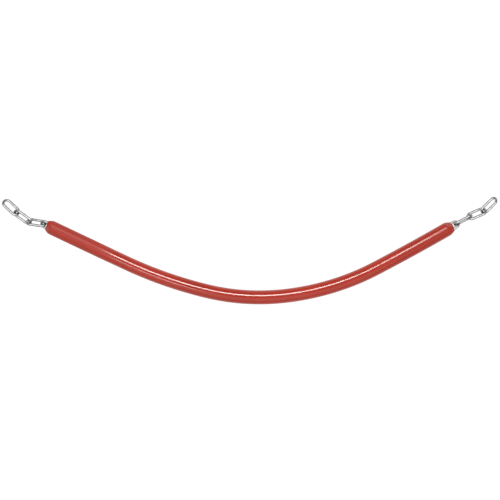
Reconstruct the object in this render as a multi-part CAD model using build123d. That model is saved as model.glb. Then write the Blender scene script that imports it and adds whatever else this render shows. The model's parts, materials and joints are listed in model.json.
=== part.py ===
from build123d import *
import math
import os

# A welded steel chain in a soft plastic sleeve, lying in a shallow U on a flat surface.
# Millimetres. X runs along the sleeve, Y across the U, towards its open side, and +Z is up.
# The origin is on the surface, under the middle of the whole object's box.

# Chain
wire_diameter = 5.0
link_inner_length = 28.5
link_inner_width = 9.5
link_slack = 1.4            # play left at each contact of a chain that lies slack
weld_diameter = 5.5         # the swollen butt weld halfway along one leg
weld_length = 4.0
links_in_sleeve = 27        # links wholly inside, between the two that the mouths hold

# Sleeve
bore_clearance = 0.55       # between the chain's width and the bore, on each side
sleeve_wall = 2.2
mouth_clearance = 0.3       # between a mouth's lip and the link that it holds
mouth_wall = 0.8            # the lip is thinner than the wall, because it's drawn in
mouth_length = 9.0          # the stretch over which each end is drawn in
pinch_height = 1.02         # the pinching slot where it starts, as multiples of the round size
pinch_width = 1.122
left_link_depth = 6.5       # centre of the link in the left mouth, inside the mouth's face
right_link_depth = 3.2      # the same at the right mouth

# How the sleeve lies: its first heading in degrees, then stretches of its line from left to
# right, each as a share of its length and the degrees that it turns through.
first_heading = -25.5
sleeve_lay = [
    (0.183, 0),
    (0.2025, 10.9),
    (0.242, 25.6),
    (0.169, 15.0),
    (0.089, 4.1),
    (0.1145, 0),
]

# How the bare links lie, from the mouth outwards: how far each one turns from the one before in
# heading, and how far it is twisted past a quarter turn in roll, in degrees.
# A roll of 0 lays a link flat, and 90 stands it on one leg.
left_mouth_roll = -42
right_mouth_roll = -44
left_links = [(17.0, 3), (-27.5, -7), (-7.5, -6)]
right_links = [(-2.6, 30), (-4.5, -31), (21.5, -4)]

# They lie like that at this side play, and links with less play turn and twist less.
lay_side_play = 4.5
turn_power = 1.15
twist_power = 0.5

# The pitch that lays a bare link on the surface is found by halving the range that holds it.
steepest_pitch = 60.0
pitch_halvings = 40

# Sizes that follow from those
link_length = link_inner_length + 2 * wire_diameter
link_width = link_inner_width + 2 * wire_diameter
leg_offset = (link_width - wire_diameter) / 2
leg_half_length = (link_length - link_width) / 2
crown_reach = (link_length - wire_diameter) / 2
hook_distance = wire_diameter + link_slack
chain_step = link_inner_length - link_slack
side_play = link_inner_width - wire_diameter
turn_ease = (side_play / lay_side_play) ** turn_power
twist_ease = (side_play / lay_side_play) ** twist_power
sleeve_bore = link_width + 2 * bore_clearance
sleeve_diameter = sleeve_bore + 2 * sleeve_wall
sleeve_length = (links_in_sleeve + 1) * chain_step + left_link_depth + right_link_depth
slot_width = link_width + 2 * mouth_clearance
slot_height = wire_diameter + 2 * mouth_clearance
lie_height = sleeve_diameter / 2


def sleeve_line():
    """The sleeve's centre line: straight runs and tangent arcs, level, at half the sleeve's height."""
    point = Vector(0, 0, lie_height)
    heading = math.radians(first_heading)
    direction = Vector(math.cos(heading), math.sin(heading), 0)
    edges = []
    for share, turn in sleeve_lay:
        length = share * sleeve_length
        if turn == 0:
            edge = Edge.make_line(point, point + direction * length)
        else:
            edge = JernArc(point, direction, length / math.radians(abs(turn)), turn).edge()
        edges.append(edge)
        point = edge @ 1
        direction = edge % 1
    return Wire(edges)


def link_plane(centre, heading, pitch, roll):
    """A link's own plane: x along the link, y across it, z square to the plane of its two legs."""
    yaw = math.radians(heading)
    rise = math.radians(pitch)
    turn = math.radians(roll)
    along = Vector(math.cos(yaw) * math.cos(rise), math.sin(yaw) * math.cos(rise), math.sin(rise))
    side = Vector(-math.sin(yaw), math.cos(yaw), 0)
    across = side * math.cos(turn) + along.cross(side) * math.sin(turn)
    return Plane(centre, x_dir=along, z_dir=along.cross(across))


def heading_of(direction):
    """A level direction's heading in degrees."""
    return math.degrees(math.atan2(direction.Y, direction.X))


def plain_link():
    """One welded link, centred on the origin: two legs, two half-round crowns and a weld."""
    leg = Cylinder(wire_diameter / 2, 2 * leg_half_length, rotation=(0, 90, 0))
    section = Plane.XZ * Pos(leg_offset, 0) * Circle(wire_diameter / 2)
    crown = Rot(0, 0, -90) * revolve(section, Axis.Z, 180)
    link = Pos(0, leg_offset, 0) * leg + Pos(0, -leg_offset, 0) * leg
    link += Pos(leg_half_length, 0, 0) * crown
    link += Pos(-leg_half_length, 0, 0) * Rot(0, 0, 180) * crown
    half_weld = weld_length / 2
    profile = make_face(
        Polyline((-half_weld, 0), (half_weld, 0), (half_weld, wire_diameter / 2))
        + ThreePointArc(
            (half_weld, wire_diameter / 2), (0, weld_diameter / 2), (-half_weld, wire_diameter / 2)
        )
        + Line((-half_weld, wire_diameter / 2), (-half_weld, 0))
    )
    link += Pos(0, leg_offset, 0) * revolve(profile, Axis.X, 360)
    return link


def lowest_point(plane):
    """Height of the lowest point of a link that lies in this plane, without its weld."""
    legs = leg_half_length * abs(plane.x_dir.Z)
    crown = leg_offset * math.hypot(plane.x_dir.Z, plane.y_dir.Z)
    return plane.origin.Z - legs - crown - wire_diameter / 2


def hooked_plane(inner, heading, pitch, roll):
    """The plane of a link that hangs in the outer crown of the link in the plane inner."""
    outer = link_plane((0, 0, 0), heading, pitch, roll)
    pull = (inner.x_dir + outer.x_dir).normalized()
    hook = inner.origin + inner.x_dir * crown_reach - pull * hook_distance
    outer.origin = hook + outer.x_dir * crown_reach
    return outer


def laid_plane(inner, heading, roll):
    """The hooked link's plane at the pitch that just brings the link down to the surface."""
    low, high = -steepest_pitch, steepest_pitch
    for _ in range(pitch_halvings):
        pitch = (low + high) / 2
        if lowest_point(hooked_plane(inner, heading, pitch, roll)) > 0:
            high = pitch
        else:
            low = pitch
    return hooked_plane(inner, heading, high, roll)


def end_planes(mouth_centre, out, roll, links):
    """The planes of the link that a mouth holds and of the bare links beyond it, outwards."""
    heading = heading_of(out)
    planes = [link_plane(mouth_centre, heading, 0, roll)]
    quarter = 90
    for turn, twist in links:
        heading += turn * turn_ease
        roll += quarter + twist * twist_ease
        quarter = -quarter
        planes.append(laid_plane(planes[-1], heading, roll))
    return planes


def sleeve_planes(line):
    """The planes of the links in the sleeve, from the left mouth to the right, each turned a quarter."""
    planes = []
    steps = links_in_sleeve + 1
    # Every second link is turned by a quarter, and the chain's twist from one mouth's roll to the
    # other's is shared evenly. Seen from the right, the left mouth's roll is the other way.
    first_roll = -left_mouth_roll
    last_roll = right_mouth_roll + 90 * (steps % 2)
    for step in range(steps + 1):
        along = left_link_depth + step * chain_step
        centre = line.position_at(along, PositionMode.LENGTH)
        heading = heading_of(line.tangent_at(along, PositionMode.LENGTH))
        share = step / steps
        roll = last_roll * share + first_roll * (1 - share)
        planes.append(link_plane(centre, heading, 0, roll - 90 * (step % 2)))
    return planes


def mouth_body(place, mouth_plane, round_size, width, height):
    """A drawn-in end: round where it joins the tube, pinched to a slot round the link at its face."""
    out = mouth_plane.x_dir
    face = Plane(place, x_dir=mouth_plane.y_dir, z_dir=out)
    round_end = Plane(place - out * mouth_length, x_dir=mouth_plane.y_dir, z_dir=out)
    barrel = extrude(round_end * Circle(round_size / 2), mouth_length)
    open_slot = SlotOverall(pinch_width * round_size, pinch_height * round_size)
    wedge = loft([round_end * open_slot, face * SlotOverall(width, height)])
    return barrel & wedge


def tube_body(line, size):
    """A round bar along the part of the line between the two mouths."""
    start = mouth_length / sleeve_length
    path = line.trim(start, 1 - start)
    return sweep(Plane(path @ 0, z_dir=path % 0) * Circle(size / 2), path)


def sleeve(line, left_mouth, right_mouth):
    """The tube with both ends drawn in to a slot round the chain."""
    outside = tube_body(line, sleeve_diameter)
    inside = tube_body(line, sleeve_bore)
    lip_size = (slot_width + 2 * mouth_wall, slot_height + 2 * mouth_wall)
    for place, plane in ((line @ 0, left_mouth), (line @ 1, right_mouth)):
        outside += mouth_body(place, plane, sleeve_diameter, *lip_size)
        inside += mouth_body(place, plane, sleeve_bore, slot_width, slot_height)
    return outside - inside


def print_hinges(side, planes, middle):
    """The hinges of one side's bare links, for whoever writes the joints, and its end link's eye.

    Each link swings in its own plane round the middle of the crown wire that it hooks.
    """
    for inner, outer in zip(planes, planes[1:]):
        pivot = inner.origin + inner.x_dir * crown_reach - middle
        print(side, "pivot", pivot, "axis", outer.z_dir)
    end = planes[-1]
    eye = end.origin + end.x_dir * leg_half_length - middle
    open_middle = (leg_half_length + leg_offset - crown_reach + hook_distance) / 2
    eye_middle = end.origin + end.x_dir * open_middle - middle
    print(side, "eye", eye, "outward", end.x_dir, "eye middle", eye_middle)


line = sleeve_line()
inner_planes = sleeve_planes(line)
left_planes = end_planes(inner_planes[0].origin, -(line % 0), left_mouth_roll, left_links)
right_planes = end_planes(inner_planes[-1].origin, line % 1, right_mouth_roll, right_links)
all_planes = left_planes[:0:-1] + inner_planes + right_planes[1:]

solids = {"sleeve": sleeve(line, left_planes[0], right_planes[0])}
link = plain_link()
for number, plane in enumerate(all_planes, start=1):
    solids[f"chain_link_{number:02d}"] = plane * link

box = Compound(list(solids.values())).bounding_box()
middle = Vector((box.min.X + box.max.X) / 2, (box.min.Y + box.max.Y) / 2, 0)

os.makedirs("parts", exist_ok=True)
for name, solid in solids.items():
    export_step(Pos(-middle) * solid, f"parts/{name}.step")

print_hinges("left", left_planes, middle)
print_hinges("right", right_planes, middle)
print("size", box.size, "sleeve length", sleeve_length, "diameter", sleeve_diameter)
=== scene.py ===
import json
import math
from collections import namedtuple

import bpy
import numpy as np
from mathutils import Matrix, Vector, noise


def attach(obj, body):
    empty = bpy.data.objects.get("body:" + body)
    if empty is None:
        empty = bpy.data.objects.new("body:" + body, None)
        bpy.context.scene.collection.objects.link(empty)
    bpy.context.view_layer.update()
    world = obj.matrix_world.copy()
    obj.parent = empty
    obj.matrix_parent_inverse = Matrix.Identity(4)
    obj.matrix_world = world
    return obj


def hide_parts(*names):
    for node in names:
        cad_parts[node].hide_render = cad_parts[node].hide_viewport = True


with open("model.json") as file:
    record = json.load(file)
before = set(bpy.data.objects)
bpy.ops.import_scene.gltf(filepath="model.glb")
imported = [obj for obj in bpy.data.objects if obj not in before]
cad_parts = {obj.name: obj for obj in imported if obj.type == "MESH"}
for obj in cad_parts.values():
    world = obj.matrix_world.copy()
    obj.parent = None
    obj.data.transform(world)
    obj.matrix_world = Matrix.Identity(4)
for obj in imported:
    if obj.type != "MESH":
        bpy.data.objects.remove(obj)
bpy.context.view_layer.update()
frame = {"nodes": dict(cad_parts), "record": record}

MM = 0.001
UP = Vector((0, 0, 1))

# The chain and the sleeve, as the frame has them
WIRE = 5.0 * MM
LINK_WIDTH = 19.5 * MM
LINK_LENGTH = 38.5 * MM
SLEEVE_RADIUS = 12.5 * MM
BORE_RADIUS = 10.3 * MM
LIP_WIDTH = 21.7 * MM
LIP_HEIGHT = 7.2 * MM
LIP_WALL = 0.8 * MM
MOUTH_LENGTH = 9.0 * MM
PINCH_WIDTH = 1.122
PINCH_HEIGHT = 1.02

# A link's centre line: its crowns' radius, its legs' length and its whole lap
CROWN_RADIUS = (LINK_WIDTH - WIRE) / 2
LEG = LINK_LENGTH - LINK_WIDTH
LAP = 2 * (LEG + math.pi * CROWN_RADIUS)

# A link's small features: the swollen weld and its trimmed fin, the flat that its neighbour presses
# into the inside of a crown, and the wire's unevenness. A reach is how far a feature fades out in.
WELD_SWELL = 0.22 * MM
WELD_SWELL_REACH = 1.3 * MM
WELD_FIN = 0.16 * MM
WELD_FIN_REACH = 0.35 * MM
WELD_TRIMMED = 0.35         # the share of the weld left on the link's inner and outer side
CROWN_FLAT = 0.10 * MM
CROWN_FLAT_EASE = 1.6       # how fast the flat comes in between a leg and a crown
WIRE_RIPPLE = 0.018 * MM
WIRE_RIPPLE_ALONG = 0.21    # how fast the unevenness changes from ring to ring
WIRE_RIPPLE_ROUND = 1.3     # and round the wire
WIRE_RIPPLE_APART = 7.1     # so that no two links are uneven in the same way

# How soft the drawn-in ends look: their shoulders' rounding, and the faint folds at the lips
OUTER_SHOULDER = 0.7 * MM
INNER_SHOULDER = 0.12 * MM
FOLDS = 13
FOLD_DEPTH = 0.06 * MM
FOLD_REACH = 2.5 * MM
SKIN_RIPPLE = 0.05 * MM
SKIN_RIPPLE_ALONG = 9       # how fast the skin's unevenness changes with each metre along the sleeve
SKIN_RIPPLE_ROUND = 0.9     # and round it
LIP_ROLL = 0.25 * MM
# The right mouth's lips stand out between the slot's two ends.
LIP_BULGE = 2.6 * MM
LIP_BULGE_REACH = 4.0 * MM

# Meshes: points round a section, rings in a link, and the spacing of the sleeve's rings
LINK_AROUND = 36
LINK_RINGS = 200
SLEEVE_AROUND = 72
FINE_STRETCH = 16 * MM
FINE_STEP = 0.55 * MM
COARSE_STEP = 2.6 * MM

# Stage
FLOOR_DROP = 120 * MM
FLOOR_HALF = 40.0
CAMERA_PLACE = (0.0, 0.0009, 2.472)
CAMERA_LENS = 100.0

LEFT_MOUTH_LINK = "chain_link_04"
RIGHT_MOUTH_LINK = "chain_link_32"
VISIBLE_LINKS = [f"chain_link_{n:02d}" for n in (1, 2, 3, 4, 32, 33, 34, 35)]
NODE_BODY = {
    node: body
    for body, nodes in frame["record"]["behaviour"]["bodies"].items()
    for node in nodes
}

# The sleeve's route: the control points of its centre line's spline, X and Y in millimetres
SLEEVE_ROUTE = [
    (-359.7, 44.4),
    (-291, 11.6),
    (-151, -54),
    (-1, -90),
    (155, -67),
    (290, 3.5),
    (356.9, 42.2),
]


# ---------------------------------------------------------------- mesh helpers

def mesh_object(name, points, faces, material):
    """A smooth-shaded mesh object in the row frame."""
    mesh = bpy.data.meshes.new(name)
    mesh.from_pydata([tuple(p) for p in points], [], faces)
    mesh.validate()
    mesh.update()
    for polygon in mesh.polygons:
        polygon.use_smooth = True
    mesh.materials.append(material)
    made = bpy.data.objects.new(name, mesh)
    bpy.context.scene.collection.objects.link(made)
    return made


def ring_faces(rings, around):
    """Quads of a closed band of rings, the last ring joined to the first."""
    faces = []
    for i in range(rings):
        here, there = i * around, ((i + 1) % rings) * around
        for j in range(around):
            k = (j + 1) % around
            faces.append((here + j, here + k, there + k, there + j))
    return faces


# ------------------------------------------------------------------- the links

def link_axes(node):
    """Centre of a link's node and its directions along, across and square to the link."""
    mesh = frame["nodes"][node].data
    count = len(mesh.polygons)
    centres, areas = np.empty(count * 3), np.empty(count)
    mesh.polygons.foreach_get("center", centres)
    mesh.polygons.foreach_get("area", areas)
    centres = centres.reshape(-1, 3)
    middle = (centres * areas[:, None]).sum(0) / areas.sum()
    spread = (centres - middle).T @ ((centres - middle) * areas[:, None])
    _, axes = np.linalg.eigh(spread)
    along, across = axes[:, 2], axes[:, 1]
    square = np.cross(along, across)
    corners = np.array([v.co for v in mesh.vertices])
    turned = corners @ np.column_stack([along, across, square])
    middle = (turned.min(0) + turned.max(0)) / 2
    centre = middle @ np.array([along, across, square])
    return Vector(centre), Vector(along), Vector(across), Vector(square)


def stadium(share):
    """Point and outward direction on a link's centre line, share from 0 to 1 once round.

    It starts at the end of one leg, so that the leg's middle, where the weld is, is half a leg on.
    """
    half_lap = LAP / 2
    s = share * LAP
    turn = 0.0 if s < half_lap else math.pi
    s = s % half_lap
    if s < LEG:
        x, y, angle = LEG / 2 - s, CROWN_RADIUS, math.pi / 2
    else:
        angle = math.pi / 2 + (s - LEG) / CROWN_RADIUS
        x, y = -LEG / 2 + CROWN_RADIUS * math.cos(angle), CROWN_RADIUS * math.sin(angle)
    spin = Matrix.Rotation(turn, 2)
    point = spin @ Vector((x, y))
    out = spin @ Vector((math.cos(angle), math.sin(angle)))
    return point, out


def wire_radius(crown, from_weld, angle):
    """The wire's radius at an angle round it, where 0 faces out of the link.

    crown is 1 inside a crown and 0 on a leg, and from_weld is the distance to the weld's middle.
    """
    swell = WELD_SWELL * math.exp(-((from_weld / WELD_SWELL_REACH) ** 2))
    fin = WELD_FIN * math.exp(-((from_weld / WELD_FIN_REACH) ** 2))
    flat = CROWN_FLAT * crown * max(0.0, -math.cos(angle)) ** 3
    left = WELD_TRIMMED + (1 - WELD_TRIMMED) * abs(math.sin(angle))
    return WIRE / 2 - flat + (swell + fin) * left


def build_link(node, seed, material):
    """A welded link: round wire that is a little flattened inside its crowns, and a trimmed butt weld."""
    centre, along, across, square = link_axes(node)
    points = []
    for i in range(LINK_RINGS):
        share = i / LINK_RINGS
        place, out = stadium(share)
        from_weld = share * LAP - LEG / 2
        crown = min(1.0, abs(out.x) * CROWN_FLAT_EASE)
        for j in range(LINK_AROUND):
            angle = 2 * math.pi * j / LINK_AROUND
            c, s = math.cos(angle), math.sin(angle)
            spot = Vector((i * WIRE_RIPPLE_ALONG, c * WIRE_RIPPLE_ROUND, s * WIRE_RIPPLE_ROUND))
            spot.y += seed * WIRE_RIPPLE_APART
            radius = wire_radius(crown, from_weld, angle) + WIRE_RIPPLE * noise.noise(spot)
            flat = place + out * (c * radius)
            points.append(centre + along * flat.x + across * flat.y + square * (s * radius))
    faces = ring_faces(LINK_RINGS, LINK_AROUND)
    link = mesh_object(f"link_{node[-2:]}", points, faces, material)
    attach(link, NODE_BODY[node])
    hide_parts(node)
    return link


# ------------------------------------------------------------------ the sleeve

def sleeve_line():
    """Points along the sleeve's centre line, read from the NURBS spline of its route."""
    curve = bpy.data.curves.new("sleeve_route", "CURVE")
    curve.dimensions = "3D"
    curve.resolution_u = 64
    spline = curve.splines.new("NURBS")
    spline.points.add(len(SLEEVE_ROUTE) - 1)
    for point, (x, y) in zip(spline.points, SLEEVE_ROUTE):
        point.co = (x * MM, y * MM, SLEEVE_RADIUS, 1)
    spline.order_u = 3
    spline.use_endpoint_u = True
    holder = bpy.data.objects.new("sleeve_route", curve)
    mesh = bpy.data.meshes.new_from_object(holder)
    line = [v.co.copy() for v in mesh.vertices]
    bpy.data.objects.remove(holder)
    bpy.data.curves.remove(curve)
    bpy.data.meshes.remove(mesh)
    return line


def along_line(line):
    """Distance from the line's start to each of its points."""
    far = [0.0]
    for a, b in zip(line, line[1:]):
        far.append(far[-1] + (b - a).length)
    return far


def point_at(line, far, s):
    """Point and direction at a distance s along the line."""
    s = min(max(s, 0.0), far[-1])
    i = min(int(np.searchsorted(far, s, side="right")) - 1, len(line) - 2)
    i = max(i, 0)
    step = line[i + 1] - line[i]
    return line[i] + step * ((s - far[i]) / max(step.length, 1e-9)), step.normalized()


def slot_radius(angle, width, height):
    """Distance from the middle to the edge of a slot with round ends, in a direction."""
    c, s = abs(math.cos(angle)), abs(math.sin(angle))
    end, flat = height / 2, (width - height) / 2
    if s > 1e-6 and end / s * c <= flat:
        return end / s
    return flat * c + math.sqrt(max(end * end - (flat * s) ** 2, 0.0))


def soft_least(a, b, softness):
    """The smaller of two lengths, with the corner between them rounded off."""
    low = min(a, b)
    return low - softness * math.log(math.exp((low - a) / softness) + math.exp((low - b) / softness))


def ring_distances(length):
    """Where the sleeve's rings lie along it: close together in the mouths, and wider between them."""
    near = [0.0]
    while near[-1] < FINE_STRETCH:
        near.append(near[-1] + FINE_STEP)
    count = int((length - 2 * near[-1]) / COARSE_STEP)
    inner = np.linspace(near[-1], length - near[-1], count + 1)[1:-1]
    return near + list(inner) + [length - n for n in reversed(near)]


# A mouth: the direction across the link that it holds, how far its lips stand out, and where in the
# turn its folds start
Mouth = namedtuple("Mouth", "across bulge fold_start")


def mouth_slot(depth, round_size, inset):
    """Width and height of the slot that pinches a mouth, at a depth inside its face."""
    width = LIP_WIDTH - 2 * inset
    height = LIP_HEIGHT - 2 * inset
    share = depth / MOUTH_LENGTH
    width += (2 * PINCH_WIDTH * round_size - width) * share
    height += (2 * PINCH_HEIGHT * round_size - height) * share
    return width, height


def sleeve_ring(line, far, s, mouths, inside):
    """One ring of the sleeve's points at a distance s along it, on its bore or its outside."""
    centre, ahead = point_at(line, far, s)
    length = far[-1]
    in_left_half = s < length / 2
    mouth = mouths[0] if in_left_half else mouths[1]
    depth = s if in_left_half else length - s
    side = UP.cross(ahead)
    lean = math.atan2(mouth.across.dot(UP), mouth.across.dot(side))
    round_size = BORE_RADIUS if inside else SLEEVE_RADIUS
    width, height = mouth_slot(depth, round_size, LIP_WALL if inside else 0)
    fold = FOLD_DEPTH * math.exp(-depth / FOLD_REACH)
    bulge = mouth.bulge * math.exp(-((depth / LIP_BULGE_REACH) ** 2))
    points = []
    for j in range(SLEEVE_AROUND):
        angle = 2 * math.pi * j / SLEEVE_AROUND
        c, s_round = math.cos(angle), math.sin(angle)
        slot = slot_radius(angle - lean, width, height)
        if inside:
            radius = soft_least(round_size, slot, INNER_SHOULDER)
        else:
            radius = soft_least(round_size, slot, OUTER_SHOULDER)
            radius -= fold * (1 + math.sin(angle * FOLDS + mouth.fold_start))
            spot = Vector((s * SKIN_RIPPLE_ALONG, c * SKIN_RIPPLE_ROUND, s_round * SKIN_RIPPLE_ROUND))
            radius += SKIN_RIPPLE * noise.noise(spot)
        across_slot = min(abs(math.cos(angle - lean)) * radius / (LIP_WIDTH / 2), 1.0)
        lip = ahead * bulge * (1 - across_slot ** 2)
        points.append(centre + (side * c + UP * s_round) * radius + lip)
    return points


def lip_ring(line, far, s, mouths, out):
    """The ring between a lip's outer and inner edges, a little proud, so that the lip is rolled."""
    outer = sleeve_ring(line, far, s, mouths, inside=False)
    inner = sleeve_ring(line, far, s, mouths, inside=True)
    return [(a + b) / 2 + out * LIP_ROLL for a, b in zip(outer, inner)]


def build_sleeve(material):
    """The plastic tube: outer skin, rolled lips, drawn-in ends and the bore's wall, one closed mesh."""
    line = sleeve_line()
    far = along_line(line)
    length = far[-1]
    mouths = (
        Mouth(across=link_axes(LEFT_MOUTH_LINK)[2], bulge=0, fold_start=1.3),
        Mouth(across=link_axes(RIGHT_MOUTH_LINK)[2], bulge=LIP_BULGE, fold_start=4.0),
    )
    places = ring_distances(length)
    rings = [sleeve_ring(line, far, s, mouths, inside=False) for s in places]
    rings.append(lip_ring(line, far, length, mouths, point_at(line, far, length)[1]))
    rings += [sleeve_ring(line, far, s, mouths, inside=True) for s in reversed(places)]
    rings.append(lip_ring(line, far, 0, mouths, -point_at(line, far, 0)[1]))
    points = [point for ring in rings for point in ring]
    sleeve = mesh_object("red_sleeve", points, ring_faces(len(rings), SLEEVE_AROUND), material)
    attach(sleeve, "sleeved_chain")
    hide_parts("sleeve")
    return sleeve


# ------------------------------------------------------------------- materials

def new_material(name):
    """A new node material, with its node tree and its shader."""
    material = bpy.data.materials.new(name)
    material.use_nodes = True
    tree = material.node_tree
    return material, tree, tree.nodes["Principled BSDF"]


def add(tree, kind, **values):
    """A new node with its inputs set by name."""
    node = tree.nodes.new(kind)
    for key, value in values.items():
        node.inputs[key.replace("_", " ")].default_value = value
    return node


def object_place(tree):
    """The place on the piece, in metres."""
    return tree.nodes.new("ShaderNodeTexCoord").outputs["Object"]


def grain(tree, where, scale, detail, roughness):
    """Noise from 0 to 1. A larger scale makes a finer noise."""
    node = add(tree, "ShaderNodeTexNoise", Scale=scale, Detail=detail, Roughness=roughness)
    tree.links.new(where, node.inputs["Vector"])
    return node.outputs["Fac"]


def ramp(tree, source, stops):
    """A colour ramp fed by source. stops are (position, grey or colour)."""
    node = tree.nodes.new("ShaderNodeValToRGB")
    elements = node.color_ramp.elements
    for element, (position, colour) in zip(elements, stops):
        if isinstance(colour, (int, float)):
            colour = (colour, colour, colour)
        element.position = position
        element.color = (*colour, 1)
    tree.links.new(source, node.inputs["Fac"])
    return node.outputs["Color"]


def mixed(tree, blend, share, first, second):
    """Two colours mixed. share and second are sockets or plain values."""
    node = tree.nodes.new("ShaderNodeMix")
    node.data_type = "RGBA"
    node.blend_type = blend
    tree.links.new(first, node.inputs[6])
    for value, socket in ((share, node.inputs[0]), (second, node.inputs[7])):
        if isinstance(value, bpy.types.NodeSocket):
            tree.links.new(value, socket)
        else:
            socket.default_value = value
    return node.outputs[2]


def remapped(tree, source, **values):
    """A value put from one range to another. An end that isn't given is 0 or 1."""
    node = add(tree, "ShaderNodeMapRange", **values)
    tree.links.new(source, node.inputs["Value"])
    return node.outputs["Result"]


def sum_of(tree, first, second):
    """The sum of two values."""
    total = tree.nodes.new("ShaderNodeMath")
    tree.links.new(first, total.inputs[0])
    tree.links.new(second, total.inputs[1])
    return total.outputs["Value"]


def bumped(tree, height, strength, distance, under=None):
    """A bump from a height, on top of another bump if there is one."""
    node = add(tree, "ShaderNodeBump", Strength=strength, Distance=distance)
    tree.links.new(height, node.inputs["Height"])
    if under is not None:
        tree.links.new(under, node.inputs["Normal"])
    return node.outputs["Normal"]


def zinc_steel():
    """Bright zinc-plated steel: soft mottling, a fine grain, an uneven gloss, and painted shade where the
    links meet.
    """
    material, tree, shader = new_material("zinc_plated_steel")
    where = object_place(tree)
    mottle = grain(tree, where, scale=240.0, detail=5.0, roughness=0.6)
    fine = grain(tree, where, scale=2600.0, detail=3.0, roughness=0.6)
    colour = ramp(tree, mottle, [(0.3, (0.39, 0.395, 0.405)), (0.7, (0.53, 0.53, 0.525))])
    # Painted shade: ambient occlusion from nearby wire darkens the base colour nearly to black where
    # links press together.
    crevice = add(tree, "ShaderNodeAmbientOcclusion", Distance=0.004)
    crevice.samples = 8
    painted_shade = ramp(tree, crevice.outputs["AO"], [(0.35, 0.04), (0.9, 1.0)])
    shaded_colour = mixed(tree, "MULTIPLY", share=1.0, first=colour, second=painted_shade)
    tree.links.new(shaded_colour, shader.inputs["Base Color"])
    rough = ramp(tree, mottle, [(0.3, 0.36), (0.7, 0.20)])
    tree.links.new(rough, shader.inputs["Roughness"])
    tree.links.new(bumped(tree, fine, strength=0.25, distance=0.0001), shader.inputs["Normal"])
    shader.inputs["Metallic"].default_value = 1.0
    return material


def plastic_scuffs(tree, where):
    """Short fine marks, drawn out along the sleeve: 0 where there is none, and 1 in a mark."""
    drawn_out = add(tree, "ShaderNodeMapping", Scale=(45.0, 420.0, 420.0))
    tree.links.new(where, drawn_out.inputs["Vector"])
    marks = grain(tree, drawn_out.outputs["Vector"], scale=1.0, detail=3.0, roughness=0.6)
    return ramp(tree, marks, [(0.60, 0.0), (0.74, 1.0)])


def plastic_colour(tree, cloud, scuffs):
    """Two close reds in clouds, and a paler one in the scuffs."""
    red = ramp(tree, cloud, [(0.3, (0.40, 0.029, 0.014)), (0.7, (0.47, 0.037, 0.018))])
    share = remapped(tree, scuffs, To_Max=0.35)
    return mixed(tree, "MIX", share, first=red, second=(0.56, 0.085, 0.055, 1))


def plastic_roughness(tree, where, cloud, scuffs):
    """A glossy skin, duller in the scuffs and over a stretch near each end of the sleeve."""
    rough = ramp(tree, cloud, [(0.35, 0.14), (0.75, 0.22)])
    rough = sum_of(tree, rough, remapped(tree, scuffs, To_Max=0.18))
    place = tree.nodes.new("ShaderNodeSeparateXYZ")
    tree.links.new(where, place.inputs["Vector"])
    for start, end, extra in ((-0.235, -0.27, 0.34), (0.21, 0.34, 0.16)):
        dull = remapped(tree, place.outputs["X"], From_Min=start, From_Max=end, To_Max=extra)
        rough = sum_of(tree, rough, dull)
    return rough


def red_plastic():
    """Glossy red soft plastic: an orange-peel skin, fine scuffs, and duller stretches near the ends."""
    material, tree, shader = new_material("red_soft_plastic")
    where = object_place(tree)
    cloud = grain(tree, where, scale=14.0, detail=4.0, roughness=0.55)
    peel = grain(tree, where, scale=190.0, detail=2.0, roughness=0.5)
    speck = grain(tree, where, scale=900.0, detail=3.0, roughness=0.6)
    scuffs = plastic_scuffs(tree, where)
    skin = bumped(tree, peel, strength=0.22, distance=0.0003)
    skin = bumped(tree, speck, strength=0.15, distance=0.0001, under=skin)
    tree.links.new(plastic_colour(tree, cloud, scuffs), shader.inputs["Base Color"])
    tree.links.new(plastic_roughness(tree, where, cloud, scuffs), shader.inputs["Roughness"])
    tree.links.new(skin, shader.inputs["Normal"])
    shader.inputs["IOR"].default_value = 1.46
    shader.inputs["Subsurface Weight"].default_value = 0.08
    shader.inputs["Subsurface Radius"].default_value = (0.004, 0.001, 0.0006)
    return material


# ----------------------------------------------------------------------- stage

def pale_floor():
    """A plain pale floor, low enough for the bare links to swing down to every joint's limit."""
    material, tree, shader = new_material("pale_floor")
    shader.inputs["Base Color"].default_value = (0.86, 0.86, 0.86, 1)
    shader.inputs["Roughness"].default_value = 0.9
    shader.inputs["Specular IOR Level"].default_value = 0.1
    corners = [(x * FLOOR_HALF, y * FLOOR_HALF, 0) for x, y in ((-1, -1), (1, -1), (1, 1), (-1, 1))]
    floor = mesh_object("floor", corners, [(0, 1, 2, 3)], material)
    floor.location.z = -FLOOR_DROP
    return floor


def lit_group(name, pieces):
    """A collection of pieces that a light can be kept to."""
    group = bpy.data.collections.new(name)
    for piece in pieces:
        group.objects.link(piece)
    return group


def add_light(name, light, place, target, group):
    """Puts a light at a place, aimed at target, and keeps it to one group."""
    made = bpy.data.objects.new(name, light)
    made.location = place
    made.rotation_mode = "QUATERNION"
    made.rotation_quaternion = (Vector(target) - Vector(place)).to_track_quat("-Z", "Y")
    bpy.context.scene.collection.objects.link(made)
    made.light_linking.receiver_collection = group


def soft_box(name, place, target, size, glow, group):
    """A rectangular area light. glow is its brightness, whatever its size."""
    light = bpy.data.lights.new(name, "AREA")
    light.shape = "RECTANGLE"
    light.size, light.size_y = size
    light.energy = glow * math.pi * size[0] * size[1]
    add_light(name, light, place, target, group)


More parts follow.
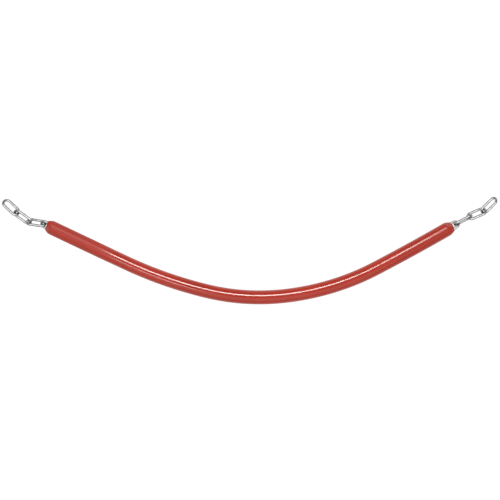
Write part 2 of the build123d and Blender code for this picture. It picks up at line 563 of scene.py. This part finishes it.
def even_light(name, strength, group):
    """A light from straight above, equally bright everywhere and without shadows."""
    light = bpy.data.lights.new(name, "SUN")
    light.energy = strength
    light.use_shadow = False
    add_light(name, light, (0, 0, 3), (0, 0, 0), group)


def studio(floor, chain, sleeve):
    """A grey surround, an even light for the floor, and soft boxes for the chain and the sleeve."""
    world = bpy.data.worlds.new("studio")
    bpy.context.scene.world = world
    world.use_nodes = True
    back = world.node_tree.nodes["Background"]
    back.inputs["Color"].default_value = (1, 1, 1, 1)
    back.inputs["Strength"].default_value = 0.2
    middle = (0, 0, 0)
    even_light("floor_light", 3.2, floor)
    soft_box("chain_light", (0, 0, 2.2), middle, size=(4.6, 3.6), glow=1.9, group=chain)
    soft_box("strip", (0, 1.08, 2.0), middle, size=(0.5, 0.4), glow=44, group=sleeve)
    soft_box("short_strip", (-0.5, -0.55, 2.0), (-0.18, 0, 0), size=(0.4, 0.12), glow=33, group=sleeve)
    soft_box("near_fill", (0, -1.75, 2.0), middle, size=(3.4, 2.8), glow=0.93, group=sleeve)
    soft_box("wing_left", (-3.2, 0, 1.4), middle, size=(1.6, 0.5), glow=3.5, group=sleeve)
    soft_box("wing_right", (3.2, 0, 1.4), middle, size=(1.6, 0.5), glow=3.5, group=sleeve)


def camera():
    """Straight down, with the object's Y up in the picture."""
    data = bpy.data.cameras.new("camera")
    data.sensor_width = 36.0
    data.lens = CAMERA_LENS
    made = bpy.data.objects.new("camera", data)
    made.location = CAMERA_PLACE
    bpy.context.scene.collection.objects.link(made)
    bpy.context.scene.camera = made


bpy.context.scene.view_settings.view_transform = "Standard"
camera()
steel = zinc_steel()
plastic = red_plastic()
for node in frame["nodes"].values():
    node.data.materials.clear()
    node.data.materials.append(steel)
links = [build_link(node, seed, steel) for seed, node in enumerate(VISIBLE_LINKS)]
links += [frame["nodes"][node] for node in NODE_BODY if node.startswith("chain_link")]
sleeve = build_sleeve(plastic)
studio(
    lit_group("lit_floor", [pale_floor()]),
    lit_group("lit_chain", links),
    lit_group("lit_sleeve", [sleeve]),
)
